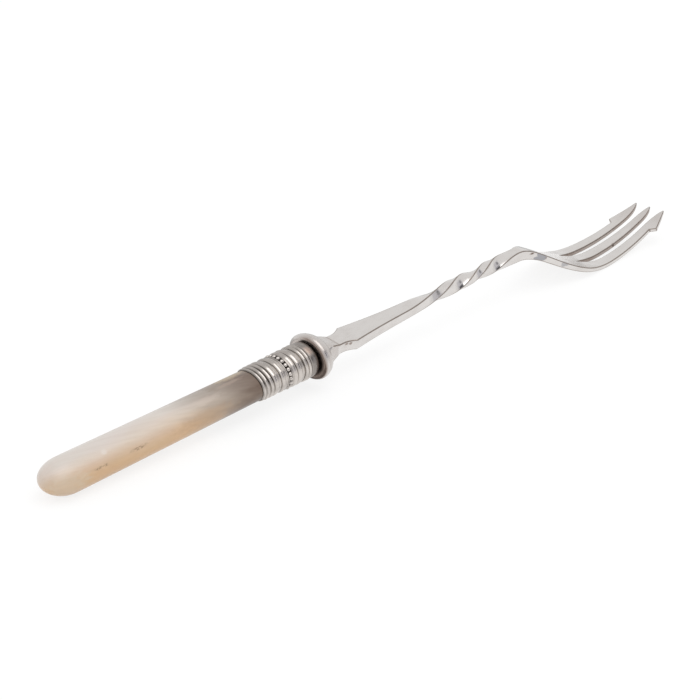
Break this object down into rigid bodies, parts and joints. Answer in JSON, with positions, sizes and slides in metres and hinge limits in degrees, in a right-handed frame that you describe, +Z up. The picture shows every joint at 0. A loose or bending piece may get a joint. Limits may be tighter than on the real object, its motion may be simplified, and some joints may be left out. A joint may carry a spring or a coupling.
{
  "type": "bar fork",
  "caption": "Slim serving fork for pickles or garnishes: rounded pearl handle, reeded ferrule, flanged bolster, flat shank, twisted stem and barbed tines on an arched head.",
  "frame": {"origin": "bottom centre of the part's box, on the surface that the fork lies on", "axes": "+X along the fork from the butt to the tips of the tines, +Y across it, +Z up, with the hollow of the head facing up"},
  "size_m": [0.2076, 0.0162, 0.0118],
  "materials": {
    "pearl": "polished mother-of-pearl, pale grey to warm tan, with fine streaks and a few pits",
    "ferrule_silver": "bright silver with dark tarnish in the grooves and a copper tone where it has worn",
    "cement": "dark brown resin cement",
    "fork_silver": "bright silver plate with fine scratches and soft worn edges"
  },
  "bodies": {
    "root": {"pearl_handle": "pearl", "ferrule": "ferrule_silver", "tang_cement": "cement", "fork": "fork_silver"}
  },
  "joints": []
}
